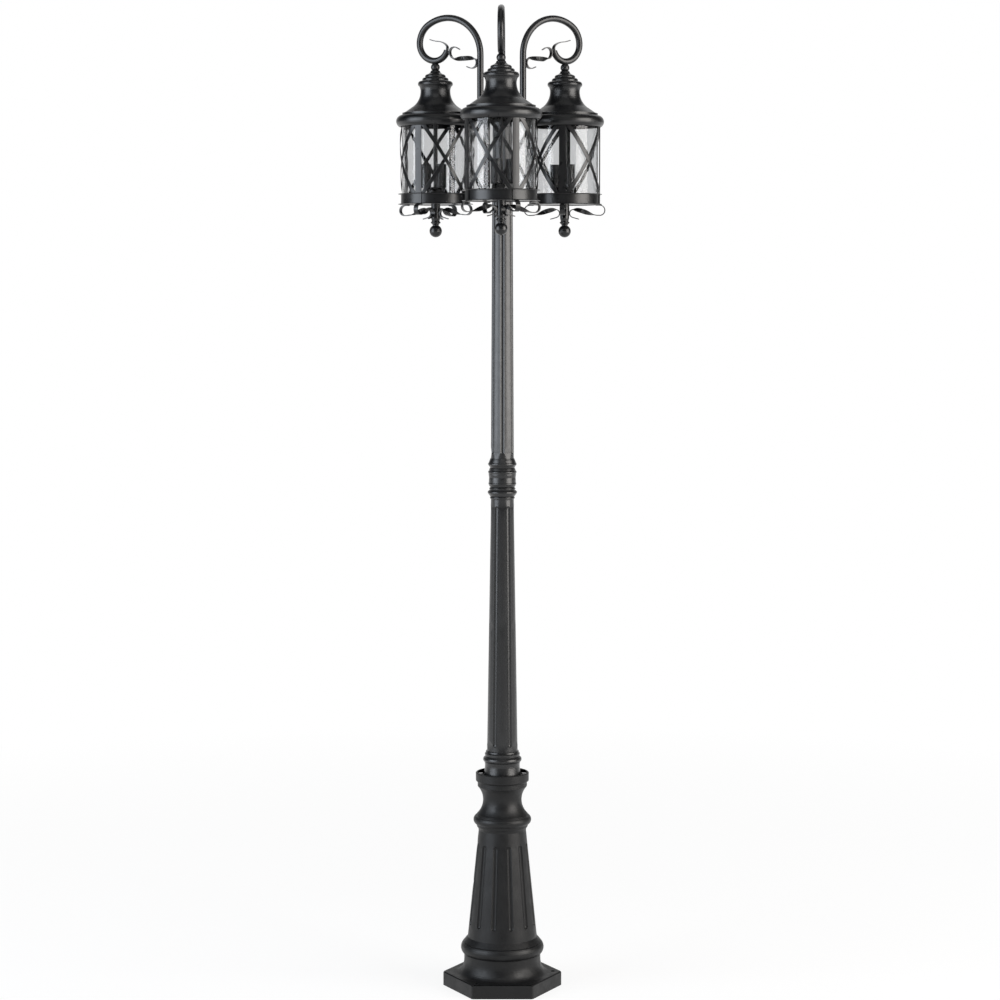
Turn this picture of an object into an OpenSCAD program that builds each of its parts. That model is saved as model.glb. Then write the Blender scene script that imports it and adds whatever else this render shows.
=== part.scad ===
// Outdoor post light: three caged glass lanterns hung from scrolled arms on a
// fluted cast post with a hexagonal foot. Millimetres, +Z up, origin on the
// ground under the post's axis. The front lantern faces -Y.

/* [Foot and base] */
// Foot plate, across its corners
foot_w = 283; // [268:1:300]
// Height of the foot plate
foot_h = 33; // [26:1:38]
// Rounding of the foot plate's six corners
foot_corner = 7; // [4:1:12]
// Wall of the hollow base casting
base_wall = 7; // [5:0.5:9]
// Distance of each anchor hole from its corner of the foot plate
anchor_inset = 21.5; // [18:0.5:24]
// Diameter of each anchor hole
anchor_d = 11; // [8:0.5:13]
// Diameter of the neck above the foot plate
neck_d = 181; // [172:1:184]
// Height of the neck above the foot plate
neck_h = 47; // [42:1:60]
// Outer diameter of the large ring above the neck
low_ring_d = 196.6; // [192:0.2:204]
// Bottom diameter of the fluted cone
cone_low_d = 164; // [156:1:168]
// Top diameter of the fluted cone
cone_top_d = 112; // [106:0.5:114]
// Height of the fluted cone
cone_h = 256; // [220:2:320]
// Outer diameter of the ring above the cone
mid_ring_d = 136.6; // [130:0.2:142]
// Narrowest diameter of the waist
waist_d = 91.2; // [88:0.2:96]
// Height of the waist
waist_h = 63; // [56:1:76]
// Top diameter of the base casting
base_top_d = 115; // [112:1:120]
// Number of flutes round the cone
cone_flutes = 12; // [8:1:14]
// Width of a cone flute at its lower end
cone_flute_w = 13.6; // [10:0.2:16]

/* [Collar] */
// Outer diameter of the collar's upper band
collar_d = 125.2; // [122:0.4:128]
// Height of the collar
collar_h = 34; // [32:1:40]
// Depth of the ring-shaped recess in its top
recess_h = 8; // [6:1:14]
// Across the flats of a collar bolt's head
bolt_af = 10; // [8:1:11]
// Number of collar bolts
bolts = 4; // [3:1:6]

/* [Shafts] */
// Lower shaft, from the collar's recess to the coupling
low_shaft_l = 653; // [560:1:800]
// Diameter of the lower shaft at its lower end
low_shaft_d = 72; // [70:0.5:75]
// Diameter of both shafts at the coupling
join_d = 54; // [53:0.5:56]
// Diameter of the upper shaft at its top
top_shaft_d = 46; // [44:0.2:47]
// Upper shaft, from the coupling to the hub
top_shaft_l = 791; // [700:10:900]
// Wall of the shafts
shaft_wall = 4.5; // [3.5:0.5:5]
// Number of flutes round each shaft
shaft_flutes = 6; // [4:1:8]
// Width of a shaft flute
shaft_flute_w = 12.2; // [9:0.2:14]
// Height of the coupling between the shafts
coupling_h = 98; // [94:1:110]
// Outer diameter of the coupling's largest ring
coupling_d = 68.8; // [66:0.4:74]

/* [Hub and arms] */
// Diameter of the hub
hub_d = 146; // [144:1:154]
// Height of the hub's pan
hub_h = 20; // [18:1:26]
// Thickness of the plate that carries the arms
plate_t = 5; // [4:0.5:7]
// Distance of each arm's upright from the post's axis
arm_root_r = 57; // [55:0.5:58]
// Diameter of the arm tube
tube_d = 15.2; // [13:0.4:16]
// Wall of the arm tube
tube_wall = 1.6; // [1.2:0.2:2.4]
// Height of the straight part of an arm above the plate
arm_rise = 119; // [100:1:150]
// Radius of the arm's large bend
bend_r = 88; // [84:1:92]
// How far the large bend runs on past the top, in degrees
bend_past = 33; // [26:1:38]
// Radius of the curl that carries the lantern
curl_r = 41; // [38:0.5:43]
// Radius of the arm's inner end
curl_end_r = 33; // [31:0.5:35]
// Distance of each lantern's axis from the post's axis
lantern_r = 175; // [172:1:182]
// How far each arm is turned round the post: front, right, left, in degrees
arm_az = [-91, 33, 153.5];

/* [Lantern] */
// Outer diameter of the roof's brim
brim_d = 184; // [182:1:190]
// Height of the roof, from its top to the lower edge of its brim
roof_h = 106; // [98:1:114]
// Thickness of the roof's sheet
roof_t = 1.6; // [1.2:0.2:2]
// Diameter of the roof's neck
roof_neck_d = 69.6; // [66:0.4:74]
// Height of the stepped cap
cap_h = 24; // [22:1:30]
// Outer diameter of the cage
cage_d = 167; // [165:0.5:168]
// Thickness of the cage's flat bars
bar_t = 2; // [1.6:0.1:2.2]
// Width of a cage upright
upright_w = 16; // [10:1:20]
// Width of a diagonal brace
brace_w = 8; // [5:0.5:10]
// Open height between the band and the roof's brim
window_h = 156; // [140:2:190]
// Height of the bottom band
band_h = 25; // [20:1:32]
// Outer diameter of the band's flanges
flange_d = 176; // [174:1:182]
// Outer diameter of the glass
glass_d = 157.6; // [154:0.4:158]
// Wall of the glass
glass_t = 2.5; // [2:0.25:3.5]
// How each lantern stands turned on its rod: front, right, left, in degrees
lantern_turn = [23.6, 84.8, -27.6];

/* [Lamp holders] */
// Diameter of the cluster cup
cup_d = 42.6; // [40:0.5:46]
// Height of the cluster cup
cup_h = 35; // [30:1:40]
// Distance of each lamp holder from the lantern's axis
holder_r = 22.5; // [21.5:0.5:25]
// How far the lamp holders are turned from a cage upright, in degrees
holder_turn = 65; // [30:5:90]
// Outer diameter of a candle sleeve
sleeve_d = 24; // [23:0.5:25]
// Height of a candle sleeve
sleeve_h = 53; // [45:1:65]
// Bore of a lamp holder's screw shell
shell_d = 12.2; // [11.9:0.1:12.4]
// Depth of the screw shell
shell_l = 24; // [20:1:28]

/* [Rod and finial] */
// Diameter of the lantern's centre rod
rod_d = 10; // [9:0.2:10.6]
// Diameter of the swivel knob under the arm
knob_d = 21; // [20:0.5:24]
// Diameter of the stem under the lantern
stem_d = 21.5; // [19:0.5:24]
// Length of the stem
stem_l = 46; // [42:1:52]
// Diameter of the ball finial
ball_d = 29.2; // [25.2:0.4:32]
// Diameter of the finial's threaded stud
stud_d = 8; // [6:0.5:9]

/* [Scrolled straps] */
// Width of the flat strap
strap_w = 11; // [8:0.5:12]
// Thickness of the flat strap
strap_t = 2; // [1.6:0.1:2.2]
// Distance of a scrolled foot's outer edge from the lantern's axis
foot_reach = 96; // [94:0.5:100]
// Height of a scrolled foot's outer loop
foot_loop = 26; // [24:0.5:30]

/* [Fits] */
// Gap between pieces that are fixed together
fixed_gap = 0.1; // [0.05:0.05:0.2]
// Running clearance of the swivel and of the finial, on the radius
run_gap = 0.06; // [0.04:0.01:0.1]
// Gap between faces that turn past each other
face_gap = 0.3; // [0.2:0.1:0.5]

/* [Hidden] */
sides = ["front", "right", "left"];
post_parts = ["base", "collar", "collar_bolts", "lower_shaft", "coupling",
    "upper_shaft", "hub", "arm_plate", "hub_fasteners"];
arm_parts = ["arm", "arm_scrolls", "knob"];
lantern_parts = ["cap", "roof", "cage", "braces", "band", "glass", "floor", "rod",
    "cluster", "sleeves", "sockets", "feet", "stem", "ball"];
$fn = 64;
// A margin by which cutting shapes run past what they cut
over = 1;

// Foot and base, heights from the ground
foot_r = foot_w / 2;
anchor_pcd = foot_w - 2 * anchor_inset;
foot_apothem = foot_r * cos(30);
foot_skin = 8;
foot_rim = 9;
foot_bevel = 2;
boss_r = anchor_d / 2 + 6;
foot_flare_w = 20;
foot_flare_h = 34;
neck_r = neck_d / 2;
neck_z = foot_h + neck_h;
low_bead = 18.5;
low_bead_a = 40;
low_bead_z = neck_z + 13.7;
low_edge_r = low_ring_d / 2 - low_bead * (1 - cos(low_bead_a));
low_edge_z = low_bead_z + low_bead * sin(low_bead_a);
cone_z = neck_z + 40;
cone_low_r = cone_low_d / 2;
cone_top_r = cone_top_d / 2;
cone_top_z = cone_z + cone_h;
mid_bead = 12;
mid_bead_a = 45;
mid_bead_z = cone_top_z + 24.8;
mid_edge_r = mid_ring_d / 2 - mid_bead * (1 - cos(mid_bead_a));
mid_edge_z = mid_bead_z + mid_bead * sin(mid_bead_a);
waist_z = cone_top_z + 41;
base_top_z = waist_z + waist_h;
base_top_r = base_top_d / 2;
waist_dip = base_top_r - waist_d / 2;
waist_arc = (pow(waist_h / 2, 2) + pow(waist_dip, 2)) / (2 * waist_dip);
waist_a = asin(waist_h / 2 / waist_arc);
waist_low_a = asin((waist_h / 2 + 2.5) / waist_arc);
// Slope of the cone's side from the upright, in degrees
cone_lean = atan((cone_low_r - cone_top_r) / cone_h);
cone_flute_end = 36;
cone_flute_taper = 0.95;
cone_flute_depth = 0.6 * base_wall;

// Socket that holds the lower shaft
spigot_r = low_shaft_d / 2;
socket_r = spigot_r + fixed_gap;
socket_h = 40;
shelf_w = 5;

// Collar and its bolts
collar_r = collar_d / 2;
collar_low_h = 11;
collar_step = 3;
recess_z = base_top_z + collar_h - recess_h;
recess_wall = 4.5;
shaft_foot_r = spigot_r + 8;
bolt_r = (shaft_foot_r + collar_r - recess_wall) / 2;
bolt_head = 5;
bolt_shank_r = 2.5;
bolt_l = collar_h - recess_h + 3;

// Shafts
join_r = join_d / 2;
join_z = recess_z + low_shaft_l;
shaft_ring_z = recess_z + 39;
shaft_z = recess_z + 60;
join_spigot_r = join_r - 4.5;
join_spigot_l = 32;
coupling_r = coupling_d / 2;
coupling_top_z = join_z + coupling_h;
hub_z = coupling_top_z + top_shaft_l;
top_r = top_shaft_d / 2;
top_spigot_r = top_r - 1.8;
top_spigot_l = hub_h - 2;
shaft_flute_depth = 0.62 * shaft_wall;

// Hub and arm plate
hub_r = hub_d / 2;
hub_wall = 3;
hub_floor = 4;
hub_socket_wall = 6;
plate_z = hub_z + hub_h;
plate_top_z = plate_z + plate_t;
tube_r = tube_d / 2;
tube_stub = 10;
// How much slimmer an overlapping bend is than the tube, on the radius
tube_slim = 0.1;
arm_ring_r = tube_r + 3;
arm_ring_h = 5;
nut_h = 8;
nut_r = tube_r + 3.6;
screw_pcr = hub_r - 12;
screw_boss_r = 6;
dome_r = 30;
dome_h = 6;

// Arm: an upright, a large bend, a tighter bend, the curl and its inner end
bend_z = plate_top_z + arm_rise;
bend_cr = arm_root_r + bend_r;
curl_edge = lantern_r + curl_r;
turn_r = (curl_edge - bend_cr - bend_r * sin(bend_past)) / (1 - sin(bend_past));
turn_cr = bend_cr + (bend_r - turn_r) * sin(bend_past);
turn_z = bend_z + (bend_r - turn_r) * cos(bend_past);
curl_z = turn_z;
hang_z = curl_z - curl_r;
curl_end_z = hang_z + curl_end_r;
curl_end_a = 72;

// Swivel knob and the rod's head inside it
knob_r = knob_d / 2;
knob_z = hang_z - tube_r - 7.3;
knob_flat = 7.5;
rod_r = rod_d / 2;
head_r = rod_r + 2.2;
head_h = 4;
head_z = knob_z - 1;

// Lantern, downwards from the knob
cap_top_z = knob_z - knob_flat - face_gap;
roof_top_z = cap_top_z - cap_h;
brim_r = brim_d / 2;
brim_z = roof_top_z - roof_h;
// The brim's rolled edge: the radius of its roll, and how far below the middle it ends
brim_bulge = 14.6;
brim_lip = 58;
brim_mid_z = brim_z + brim_bulge * sin(brim_lip);
roll_r = brim_r - brim_bulge;
ledge_z = brim_mid_z + brim_bulge + 4.8;
ledge_r = roll_r + 0.2;
roof_neck_r = roof_neck_d / 2;
roof_bead = 7;
roof_bead_r = roof_neck_r + 6;
flare_r = 45;
flare_z = ledge_z + 50.5;
flare_turn = 50;
neck_bend = 25;
neck_turn = 29;
cap_bead = 5;
cage_r = cage_d / 2;
cage_in = cage_r - bar_t;
// The cage ends where it meets the inside of the brim's roll
cage_top_z = brim_mid_z + sqrt(pow(brim_bulge - roof_t - 2 * fixed_gap, 2) - pow(cage_r - roll_r, 2));
ring_z = brim_z + 1;
band_top_z = brim_z - window_h;
band_z = band_top_z - band_h;
flange_t = 1.5;
flange_r = flange_d / 2;
band_r = cage_in - fixed_gap;
band_in = band_r - bar_t;
floor_z = band_z + flange_t;
floor_t = 2;
// How far the band's inner lip reaches under the floor plate
lip_w = 3;
floor_top_z = floor_z + floor_t;
glass_r = glass_d / 2;
glass_top_z = cage_top_z - 4;
upright_a = upright_w / cage_r * 180 / PI;
bay_a = 90 - upright_a;
brace_layer = bar_t * 0.65;

// Lamp holders
cup_r = cup_d / 2;
cup_top_z = floor_top_z + cup_h;
bracket_t = 2;
holder_z = cup_top_z + bracket_t;
sleeve_r = sleeve_d / 2;
sleeve_wall = 1.5;
holder_body_r = sleeve_r - sleeve_wall - fixed_gap;
holder_drop = 2;
shell_r = shell_d / 2;

// Rod, stem and ball finial
stem_r = stem_d / 2;
stem_z = floor_z - stem_l;
bead_r = stem_r + 0.8;
bead_h = 5;
rod_z = stem_z + 14;
stud_r = stud_d / 2;
stud_l = 10;
ball_r = ball_d / 2;
ball_neck_r = 7.4;
ball_neck_h = 4;
ball_top_z = stem_z - face_gap;
ball_z = ball_top_z - ball_neck_h - ball_r + 1.5;

// Points along an arc, for an outline
function arc(cx, cy, r, a0, a1, n = 10) =
    [for (i = [0:n]) let (a = a0 + (a1 - a0) * i / n) [cx + r * cos(a), cy + r * sin(a)]];

// A half-round ring on a turned outline: its greatest radius, mid height and roundness
function bead(r, z, b, a0 = -60, a1 = 60, n = 8) = arc(r - b, z, b, a0, a1, n);

// A smooth curve through points, with n steps between each two
function spline(p, n) = concat(
    [for (i = [0:len(p) - 2], k = [0:n - 1]) spline_at(p, i, k / n)], [p[len(p) - 1]]);
function spline_at(p, i, t) =
    let (last = len(p) - 1)
    let (a = p[max(i - 1, 0)], b = p[i], c = p[i + 1], d = p[min(i + 2, last)])
    0.5 * (2 * b + (c - a) * t + (2 * a - 5 * b + 4 * c - d) * t * t
        + (3 * b - a - 3 * c + d) * t * t * t);

// A turned solid from its outline of radius and height
module turned(outline) {
    rotate_extrude() polygon(outline);
}

// A round hole or post from z0 to z1
module column(r, z0, z1) {
    translate([0, 0, z0]) cylinder(r = r, h = z1 - z0);
}

// A ring from z0 to z1
module hoop(r_out, r_in, z0, z1, facets = 64) {
    difference() {
        column(r_out, z0, z1, $fn = facets);
        column(r_in, z0 - over, z1 + over, $fn = facets);
    }
}

// A hexagon with rounded corners, of corner radius r
function rounded_hex(r, corner) =
    [for (k = [0:5], i = [0:4])
        let (c = r - corner / cos(30), a = 60 * k - 30 + 15 * i)
        [c * cos(60 * k) + corner * cos(a), c * sin(60 * k) + corner * sin(a)]];

// A slot with round ends that lies along a cone's side, from height z0 to z1.
// r0 and r1 are the cone's radii there, and w0 and w1 the slot's widths.
module flute(r0, z0, r1, z1, w0, w1, depth) {
    lean = atan((r0 - r1) / (z1 - z0));
    long = (z1 - z0) / cos(lean);
    c0 = w0 / 2 + depth / 4;
    c1 = w1 / 2 + depth / 4;
    translate([r0 + c0 - depth, 0, z0]) rotate([0, -lean, 0]) {
        cylinder(r1 = c0, r2 = c1, h = long);
        sphere(r = c0);
        translate([0, 0, long]) sphere(r = c1);
    }
}

// A flat strap that follows a path of [distance, height] points in the XZ plane.
// wide gives its width, and twist its turn about the path in degrees, at each point.
module strap(path, wide, twist, thick) {
    n = len(path) - 1;
    rings = [for (i = [0:n])
        let (d = path[min(i + 1, n)] - path[max(i - 1, 0)])
        let (t = d / norm(d), side = [-t[1], t[0]])
        let (across = [side[0] * sin(twist[i]), cos(twist[i]), side[1] * sin(twist[i])] * wide[i] / 2)
        let (up = [side[0] * cos(twist[i]), -sin(twist[i]), side[1] * cos(twist[i])] * thick / 2)
        let (c = [path[i][0], 0, path[i][1]])
        [c + across + up, c - across + up, c - across - up, c + across - up]];
    points = [for (r = rings, p = r) p];
    walls = [for (i = [0:n - 1], k = [0:3])
        let (a = 4 * i + k, b = 4 * i + (k + 1) % 4)
        each [[a, a + 4, b + 4], [a, b + 4, b]]];
    polyhedron(points, concat(walls, [[0, 1, 2], [0, 2, 3],
        [4 * n, 4 * n + 2, 4 * n + 1], [4 * n, 4 * n + 3, 4 * n + 2]]));
}

// Puts a shape drawn on the Z axis on lantern i's axis, turned as it hangs
module on_lantern(i) {
    rotate(arm_az[i]) translate([lantern_r, 0, 0])
        rotate(lantern_turn[i] - arm_az[i] - 90) children();
}

// Puts a shape drawn in the XZ plane in the plane of arm i
module on_arm(i) {
    rotate(arm_az[i]) children();
}

// Post

base_outline = concat(
    [for (a = [-90:-9:-180])
        [neck_r + foot_flare_w * (1 + cos(a)), foot_h + foot_flare_h * (1 + sin(a))]],
    [[neck_r, neck_z]],
    bead(low_ring_d / 2, low_bead_z, low_bead, -46, low_bead_a),
    [[low_edge_r - 1.4, low_edge_z + 0.4], [low_edge_r - 2.8, low_edge_z + 0.8]],
    [[low_edge_r - 2.6, low_edge_z + 2], [low_edge_r - 2, low_edge_z + 2.6]],
    [[cone_low_r, cone_z], [cone_top_r, cone_top_z]],
    [[cone_top_r + 1.2, cone_top_z + 4.5], [cone_top_r + 4, cone_top_z + 8.5]],
    [[cone_top_r + 4.6, cone_top_z + 12.2], [cone_top_r + 5.6, cone_top_z + 12.6]],
    [[cone_top_r + 6.2, cone_top_z + 14.9]],
    bead(mid_ring_d / 2, mid_bead_z, mid_bead, -51, mid_bead_a),
    [[mid_edge_r - 2.2, mid_edge_z + 0.4], [mid_edge_r - 2.4, mid_edge_z + 2.1]],
    [[mid_edge_r - 5.4, mid_edge_z + 2.6], [mid_edge_r - 5.5, mid_edge_z + 3.9]],
    arc(waist_d / 2 + waist_arc, waist_z + waist_h / 2, waist_arc, 180 + waist_low_a, 180 - waist_a, 16),
    [[0, base_top_z], [0, foot_h - over], [neck_r + foot_flare_w, foot_h - over]]);

base_cavity = [
    [0, -over],
    [neck_r - base_wall, -over],
    [neck_r - base_wall, neck_z],
    [cone_low_r - base_wall, cone_z],
    [cone_top_r - base_wall, cone_top_z],
    [waist_d / 2 - base_wall - shelf_w, waist_z],
    [spigot_r - shelf_w, base_top_z - socket_h - over],
    [spigot_r - shelf_w, base_top_z - socket_h],
    [socket_r, base_top_z - socket_h],
    [socket_r, base_top_z + over],
    [0, base_top_z + over]];

module base() color([0.13, 0.13, 0.14]) difference() {
    union() {
        difference() {
            linear_extrude(foot_h) polygon(rounded_hex(foot_r, foot_corner));
            for (k = [0:5]) rotate(60 * k + 30) translate([foot_apothem, 0, foot_h])
                rotate([0, 45, 0]) cube([foot_bevel * sqrt(2), foot_w, foot_bevel * 4], center = true);
        }
        turned(base_outline);
    }
    difference() {
        translate([0, 0, -over]) linear_extrude(foot_h - foot_skin + over)
            polygon(rounded_hex((foot_apothem - foot_rim) / cos(30), foot_corner));
        for (k = [0:2]) rotate(120 * k) translate([anchor_pcd / 2, 0, 0])
            column(boss_r, -2 * over, foot_h);
    }
    turned(base_cavity);
    for (k = [0:2]) rotate(120 * k) translate([anchor_pcd / 2, 0, 0])
        column(anchor_d / 2, -over, foot_h + foot_flare_h);
    for (k = [0:cone_flutes - 1]) rotate((k + 0.5) * 360 / cone_flutes)
        flute(cone_low_r - tan(cone_lean) * cone_flute_end, cone_z + cone_flute_end,
            cone_top_r + tan(cone_lean) * cone_flute_end, cone_top_z - cone_flute_end,
            cone_flute_w, cone_flute_w * cone_flute_taper, cone_flute_depth);
    for (k = [0:bolts - 1]) rotate(k * 360 / bolts) translate([bolt_r, 0, 0])
        column(bolt_shank_r + fixed_gap, recess_z - bolt_l, base_top_z + over);
}

collar_outline = [
    [socket_r, base_top_z],
    [base_top_r, base_top_z],
    [base_top_r + 0.8, base_top_z + 1.5],
    [base_top_r + 0.8, base_top_z + collar_low_h],
    [collar_r - 0.4, base_top_z + collar_low_h + collar_step],
    [collar_r, base_top_z + collar_low_h + collar_step + 2],
    [collar_r, base_top_z + collar_h - 1.5],
    [collar_r - 1.5, base_top_z + collar_h],
    [collar_r - recess_wall, base_top_z + collar_h],
    [collar_r - recess_wall, recess_z],
    [socket_r, recess_z]];

module collar() color([0.15, 0.15, 0.16]) difference() {
    turned(collar_outline);
    for (k = [0:bolts - 1]) rotate(k * 360 / bolts) translate([bolt_r, 0, 0])
        column(bolt_shank_r + fixed_gap, base_top_z - over, recess_z + over);
}

module collar_bolts() color([0.7, 0.7, 0.72]) for (k = [0:bolts - 1])
    rotate(k * 360 / bolts) translate([bolt_r, 0, recess_z]) {
        cylinder(d = bolt_af / cos(30), h = bolt_head, $fn = 6);
        translate([0, 0, -bolt_l]) cylinder(r = bolt_shank_r, h = bolt_l);
    }

low_shaft_outline = concat(
    [[spigot_r - shaft_wall, base_top_z - socket_h]],
    [[spigot_r, base_top_z - socket_h], [spigot_r, recess_z], [shaft_foot_r, recess_z]],
    [[shaft_foot_r - 0.6, recess_z + 6], [shaft_foot_r - 1.8, recess_z + 14]],
    [[shaft_foot_r - 2.8, recess_z + 22], [shaft_foot_r - 2.9, recess_z + 26]],
    [[shaft_foot_r - 2.4, recess_z + 29.5]],
    bead(shaft_foot_r + 1.6, shaft_ring_z, 7, -60, 62),
    [[shaft_foot_r - 4, shaft_ring_z + 8.4], [shaft_foot_r - 4, shaft_ring_z + 10]],
    [[shaft_foot_r - 2.8, shaft_ring_z + 10.6], [shaft_foot_r - 2.8, shaft_ring_z + 14.2]],
    [[shaft_foot_r - 5.4, shaft_ring_z + 16.4], [shaft_foot_r - 5.6, shaft_ring_z + 17.2]],
    [[shaft_foot_r - 4.7, shaft_ring_z + 18], [shaft_foot_r - 5.2, shaft_ring_z + 19.6]],
    [[shaft_foot_r - 6.4, shaft_ring_z + 20.6], [spigot_r + 0.3, shaft_z]],
    [[join_r, join_z], [join_spigot_r, join_z]],
    [[join_spigot_r, join_z + join_spigot_l], [join_spigot_r - shaft_wall, join_z + join_spigot_l]],
    [[join_spigot_r - shaft_wall, join_z - 20]]);

// The radius of the lower shaft at height z
function low_r(z) = spigot_r + 0.3 + (join_r - spigot_r - 0.3) * (z - shaft_z) / (join_z - shaft_z);

module lower_shaft() color([0.25, 0.25, 0.26]) difference() {
    turned(low_shaft_outline);
    for (k = [0:shaft_flutes - 1]) rotate((k + 0.5) * 360 / shaft_flutes - 90)
        flute(low_r(shaft_z + 17), shaft_z + 17, low_r(join_z - 18), join_z - 18,
            shaft_flute_w, shaft_flute_w, shaft_flute_depth);
}

coupling_outline = concat(
    [[join_spigot_r + fixed_gap, join_z], [join_r, join_z]],
    bead(join_r + 2.2, join_z + 5.6, 3.2, -70, 60, 5),
    [[join_r + 2.4, join_z + 10]],
    bead(coupling_r, join_z + 18.4, 4, -40, 60, 6),
    [[coupling_r - 4.8, join_z + 24.4]],
    bead(coupling_r - 3.6, join_z + 27.2, 1.8, -60, 70, 4),
    [[coupling_r - 6, join_z + 30.4], [coupling_r - 3.8, join_z + 33.2]],
    bead(coupling_r - 1.8, join_z + 38.6, 4, -50, 40, 5),
    [[coupling_r - 2.9, join_z + 48], [coupling_r - 3.3, join_z + 53], [coupling_r - 2.4, join_z + 59]],
    bead(coupling_r - 1, join_z + 66, 3.4, -50, 60, 5),
    [[coupling_r - 4, join_z + 70.2]],
    bead(coupling_r - 3.4, join_z + 72, 1.6, -60, 60, 4),
    [[coupling_r - 5.8, join_z + 76]],
    bead(coupling_r - 1, join_z + 84.4, 4.4, -60, 50, 6),
    [[join_r + 2.6, coupling_top_z - 4], [join_r + 0.8, coupling_top_z]],
    [[join_spigot_r + fixed_gap, coupling_top_z]]);

module coupling() color([0.27, 0.27, 0.28]) turned(coupling_outline);

// The radius of the upper shaft at height z
function top_r_at(z) = join_r + (top_r - join_r) * (z - coupling_top_z) / (hub_z - coupling_top_z);

top_shaft_outline = [
    [join_spigot_r - shaft_wall, coupling_top_z - join_spigot_l],
    [join_spigot_r, coupling_top_z - join_spigot_l],
    [join_spigot_r, coupling_top_z],
    [join_r, coupling_top_z],
    [top_r, hub_z],
    [top_spigot_r, hub_z],
    [top_spigot_r, hub_z + top_spigot_l],
    [top_spigot_r - shaft_wall, hub_z + top_spigot_l],
    [top_spigot_r - shaft_wall, hub_z - 10]];

module upper_shaft() color([0.27, 0.27, 0.28]) difference() {
    turned(top_shaft_outline);
    for (k = [0:shaft_flutes - 1]) rotate(k * 360 / shaft_flutes - 90)
        flute(top_r_at(coupling_top_z + 16), coupling_top_z + 16, top_r_at(hub_z - 26), hub_z - 26,
            shaft_flute_w, shaft_flute_w, shaft_flute_depth);
}

// Head

module hub() color([0.1, 0.1, 0.11]) difference() {
    union() {
        difference() {
            turned([[0, hub_z], [hub_r - 3, hub_z], [hub_r, hub_z + 3], [hub_r, plate_z], [0, plate_z]]);
            column(hub_r - hub_wall, hub_z + hub_floor, plate_z + over);
        }
        column(top_spigot_r + fixed_gap + hub_socket_wall, hub_z, hub_z + top_spigot_l);
        for (k = [0:2]) rotate(120 * k + 30) translate([-screw_pcr, 0, 0])
            column(screw_boss_r, hub_z + 1, plate_z);
    }
    column(top_spigot_r + fixed_gap, hub_z - over, plate_z + over);
    for (k = [0:2]) rotate(120 * k + 30) {
        translate([-screw_pcr, 0, 0]) column(2.1, plate_z - 10, plate_z + over);
        translate([0, 0, hub_z + 11]) rotate([0, -90, 0])
            cylinder(r = 3.05, h = top_spigot_r + hub_socket_wall + 2);
    }
}

module arm_plate() color([0.1, 0.1, 0.11]) difference() {
    union() {
        turned([[0, plate_z], [hub_r, plate_z], [hub_r, plate_top_z - 2], [hub_r - 2, plate_top_z],
            [0, plate_top_z]]);
        turned(concat([[0, plate_z + 1], [dome_r, plate_z + 1]],
            [for (i = [0:8]) [dome_r * cos(i * 11.25), plate_top_z + dome_h * sin(i * 11.25)]]));
    }
    turned(concat([[0, plate_z - over], [dome_r - 3, plate_z - over]],
        [for (i = [0:8]) [(dome_r - 3) * cos(i * 11.25), plate_z + (dome_h + 2) * sin(i * 11.25)]]));
    for (k = [0:2]) rotate(arm_az[k]) translate([arm_root_r, 0, 0])
        column(tube_r + fixed_gap, plate_z - over, plate_top_z + over);
    for (k = [0:2]) rotate(120 * k + 30) translate([-screw_pcr, 0, 0])
        column(2.2, plate_z - over, plate_top_z + over);
}

module hub_fasteners() color([0.6, 0.6, 0.62]) {
    for (k = [0:2]) rotate(120 * k + 30) {
        translate([0, 0, hub_z + 11]) rotate([0, -90, 0])
            translate([0, 0, top_spigot_r]) cylinder(r = 3, h = hub_socket_wall + 3);
        translate([-screw_pcr, 0, 0]) {
            column(2, plate_z - 8, plate_top_z);
            turned([[0, plate_top_z], [4.2, plate_top_z], [3.6, plate_top_z + 1.6], [1.6, plate_top_z + 2.6],
                [0, plate_top_z + 2.7]]);
        }
    }
    for (k = [0:2]) rotate(arm_az[k]) translate([arm_root_r, 0, plate_z - nut_h]) difference() {
        cylinder(r = nut_r, h = nut_h, $fn = 6);
        column(tube_r, -over, nut_h + over);
    }
}

// A bend of the arm's tube in the XZ plane, round [cr, cz], from angle a0 to a1.
// A bend drawn slim runs on inside its neighbours' wall, so that the tube is one solid.
module arm_bend(cr, cz, bend, a0, a1, slim = 0) {
    translate([cr, 0, cz]) rotate([90, 0, 0]) rotate([0, 0, a0])
        rotate_extrude(angle = a1 - a0) translate([bend, 0]) difference() {
            circle(r = tube_r - slim, $fn = 32);
            circle(r = tube_r - tube_wall + slim, $fn = 32);
        }
}

module arm() color([0.12, 0.13, 0.15]) {
    translate([arm_root_r, 0, 0]) hoop(tube_r, tube_r - tube_wall, plate_z - tube_stub, bend_z, 32);
    arm_bend(bend_cr, bend_z, bend_r, 89 - bend_past, 181, tube_slim);
    arm_bend(turn_cr, turn_z, turn_r, 0, 90 - bend_past);
    arm_bend(lantern_r, curl_z, curl_r, -91, 1, tube_slim);
    arm_bend(lantern_r, curl_end_z, curl_end_r, -90 - curl_end_a, -90);
    translate([arm_root_r, 0, 0]) hoop(arm_ring_r, tube_r - tube_wall / 2, plate_top_z, plate_top_z + arm_ring_h);
}

// The strap that carries on the curl's end, as distances and heights from the curl's axis
tip_x = lantern_r - curl_end_r * sin(curl_end_a);
tip_z = curl_end_z - curl_end_r * cos(curl_end_a);
upper_scroll = [
    [tip_x + 1.5, tip_z - 3],
    [tip_x - 0.5, tip_z + 8],
    [tip_x + 6, tip_z + 16],
    [tip_x + 18, tip_z + 21],
    [tip_x + 32, tip_z + 23],
    [tip_x + 46, tip_z + 27]];

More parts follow.
